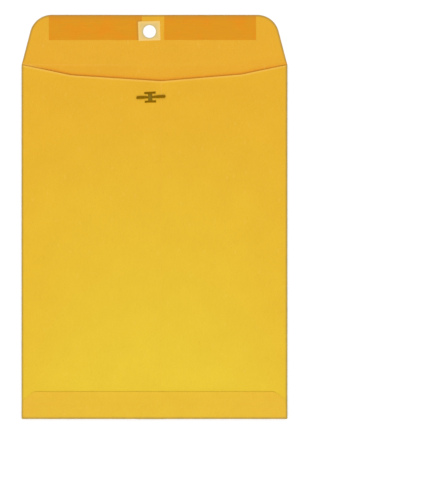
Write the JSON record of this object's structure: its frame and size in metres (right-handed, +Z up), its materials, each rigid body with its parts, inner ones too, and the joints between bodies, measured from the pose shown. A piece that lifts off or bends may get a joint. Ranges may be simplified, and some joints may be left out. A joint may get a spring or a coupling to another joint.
{
  "type": "clasp envelope",
  "caption": "Flat open-end kraft paper envelope with a gummed fold-over flap, a patched hole in the flap and a metal clasp whose bending prongs hold it shut.",
  "frame": {"origin": "on the surface the envelope lies on, under the middle of its outline with the flap open", "axes": "+Y along the envelope from its bottom fold to the flap's free edge, +X across it towards its right side seen from the back, +Z up out of the back"},
  "size_m": [0.2286, 0.3476, 0.0025],
  "materials": {
    "kraft_paper": "matte",
    "patch_paper": "matte",
    "flap_gum": "satin",
    "glue_line": "matte",
    "clasp_metal": "satin"
  },
  "bodies": {
    "envelope": {"front_panel": "kraft_paper", "left_back_panel": "kraft_paper", "right_back_panel": "kraft_paper", "left_side_fold": "kraft_paper", "right_side_fold": "kraft_paper", "bottom_fold": "kraft_paper", "bottom_flap": "kraft_paper", "seam_glue": "glue_line", "bottom_glue_left": "glue_line", "bottom_glue_right": "glue_line", "clasp_base": "clasp_metal"},
    "flap": {"seal_flap": "kraft_paper", "hole_patch": "patch_paper", "flap_gum_left": "flap_gum", "flap_gum_right": "flap_gum"},
    "left_prong": {"clasp_prong_left": "clasp_metal"},
    "right_prong": {"clasp_prong_right": "clasp_metal"}
  },
  "joints": [
    {"name": "flap_fold", "type": "hinge", "parent": "envelope", "child": "flap", "pos_m": [0, 0.13095, 0.00106], "axis": [1, 0, 0], "range_deg": [0, 180]},
    {"name": "left_prong_bend", "type": "hinge", "parent": "envelope", "child": "left_prong", "pos_m": [-0.00565, 0.10276, 0.00165], "axis": [-0.0454, 0.999, 0], "range_deg": [0, 90]},
    {"name": "right_prong_bend", "type": "hinge", "parent": "envelope", "child": "right_prong", "pos_m": [-0.00155, 0.10294, 0.00165], "axis": [0.0454, -0.999, 0], "range_deg": [0, 90]}
  ]
}
